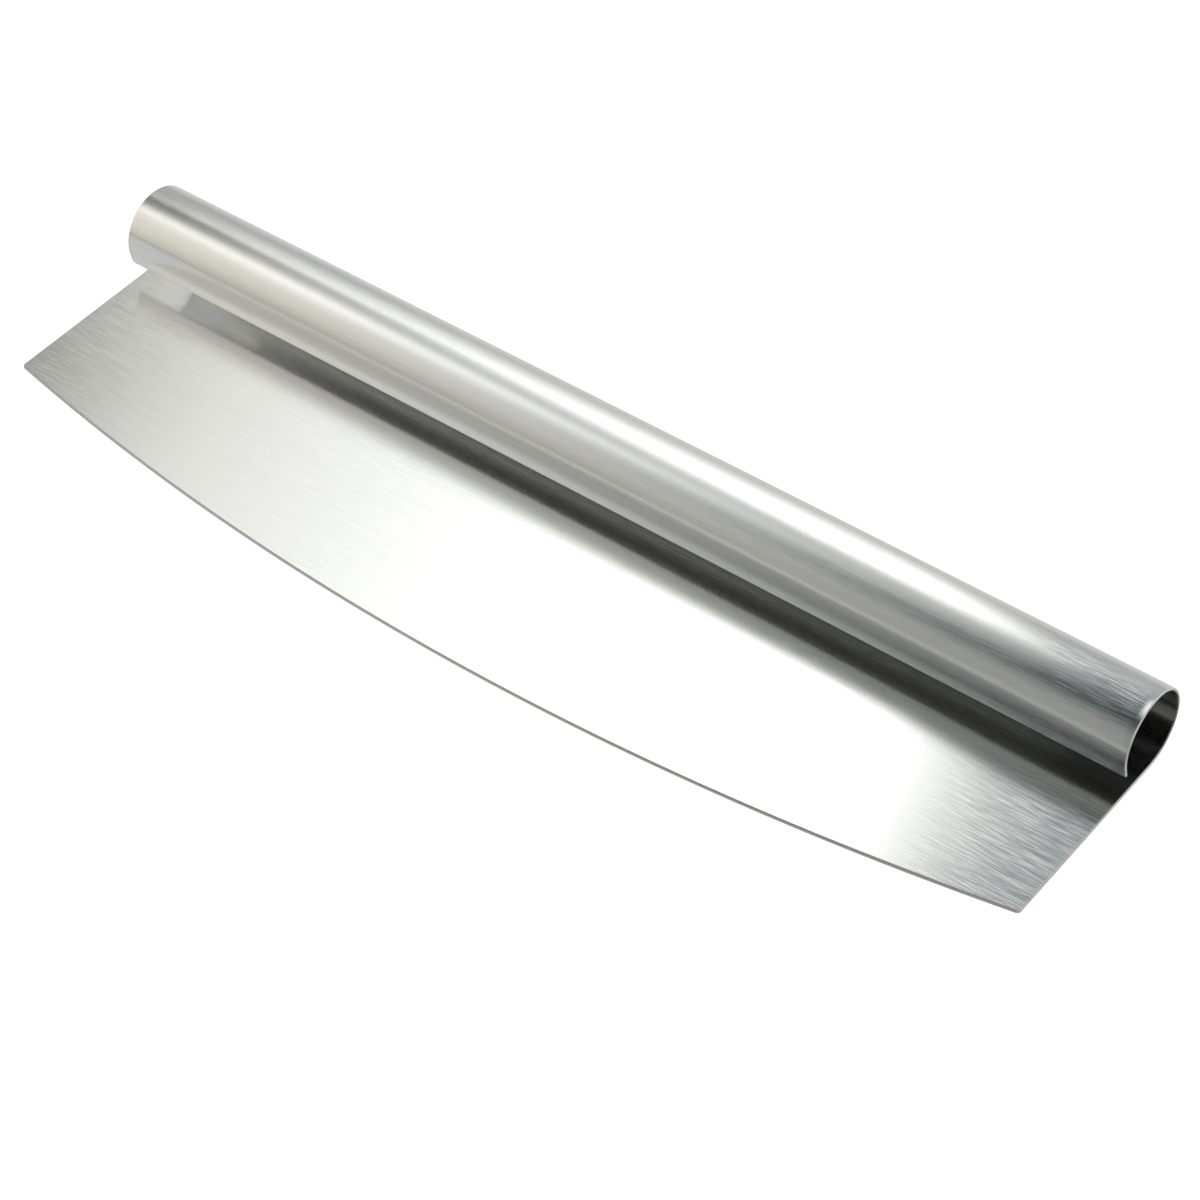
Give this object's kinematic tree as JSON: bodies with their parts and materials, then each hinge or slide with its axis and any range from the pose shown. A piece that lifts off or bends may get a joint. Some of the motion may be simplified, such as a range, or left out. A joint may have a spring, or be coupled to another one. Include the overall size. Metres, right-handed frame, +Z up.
{
  "type": "rocking pizza knife",
  "caption": "Rocking pizza knife of brushed stainless sheet: a flat blade with a bowed cutting edge, its top rolled forward into an open tube handle.",
  "frame": {"origin": "on the surface that the knife lies on, under the centre of its bounding box", "axes": "+X along the handle, +Y from the cutting edge towards the handle, +Z up from the blade's back, the side the handle is rolled to"},
  "size_m": [0.355, 0.0928, 0.0268],
  "materials": {
    "stainless_sheet": "brushed lengthwise, in line with the handle"
  },
  "bodies": {
    "root": {"blade": "stainless_sheet", "rolled_handle": "stainless_sheet"}
  },
  "joints": []
}
